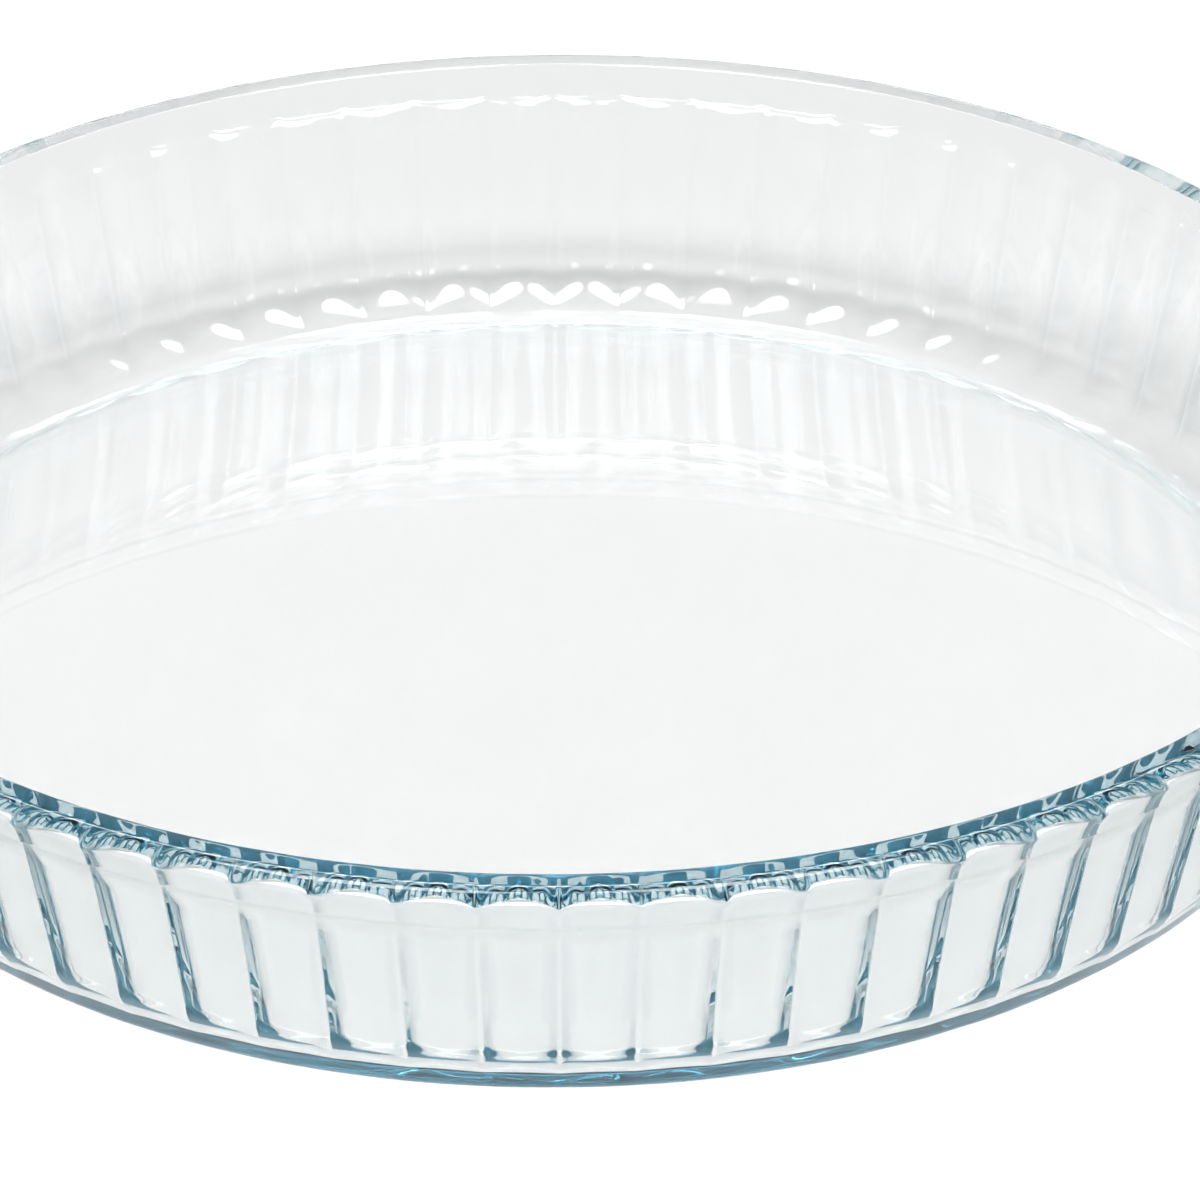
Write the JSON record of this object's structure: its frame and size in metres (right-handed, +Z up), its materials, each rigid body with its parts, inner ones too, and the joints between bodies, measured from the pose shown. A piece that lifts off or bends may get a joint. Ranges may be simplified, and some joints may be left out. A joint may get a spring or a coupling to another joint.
{
  "type": "fluted flan dish",
  "caption": "Round shallow baking dish of clear pressed glass, with a fluted leaning wall, a smooth thick rim and a flat floor, for flans, quiches and tarts.",
  "frame": {"origin": "centre of the underside, on the level that the dish rests on", "axes": "+Z up along the dish's axis of turning, from the underside to the rim; +X runs through a ridge between two flutes, and the fourfold repeat puts a ridge on +Y too"},
  "size_m": [0.28, 0.28, 0.0455],
  "materials": {
    "clear_glass": "gloss"
  },
  "bodies": {
    "root": {"flan_dish": "clear_glass"}
  },
  "joints": []
}
